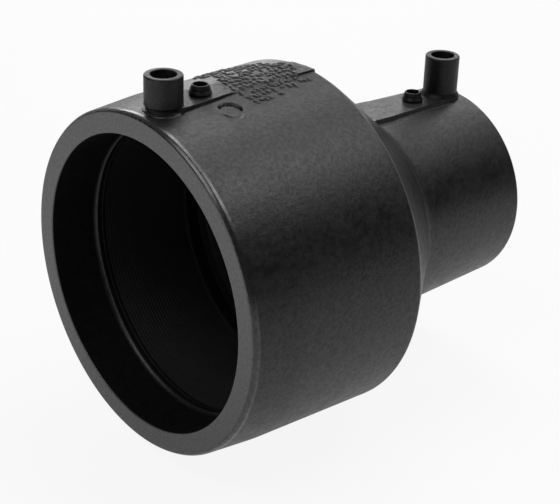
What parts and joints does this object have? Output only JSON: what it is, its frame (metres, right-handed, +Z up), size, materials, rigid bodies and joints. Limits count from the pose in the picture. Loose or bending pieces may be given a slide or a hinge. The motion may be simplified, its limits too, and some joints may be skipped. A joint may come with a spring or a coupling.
{
  "type": "pipe reducer",
  "caption": "Electrofusion pipe reducer: a wide and a narrow pipe socket joined by a cone, with upright terminal shrouds and indicator bosses on flat strips.",
  "frame": {"origin": "centre of the wide socket's mouth, on the pipe axis", "axes": "+X along the pipe axis towards the narrow mouth, +Z up through the two terminal shrouds"},
  "size_m": [0.1612, 0.136, 0.1458],
  "materials": {
    "black_polyethylene": "satin moulded",
    "wire_coating": "satin",
    "contact_brass": "turned",
    "indicator_plastic": "satin"
  },
  "bodies": {
    "root": {"fitting_body": "black_polyethylene", "heating_wire": "wire_coating", "terminal_pin_large": "contact_brass", "terminal_pin_small": "contact_brass", "indicator_pin_large": "indicator_plastic", "indicator_pin_small": "indicator_plastic"}
  },
  "joints": []
}
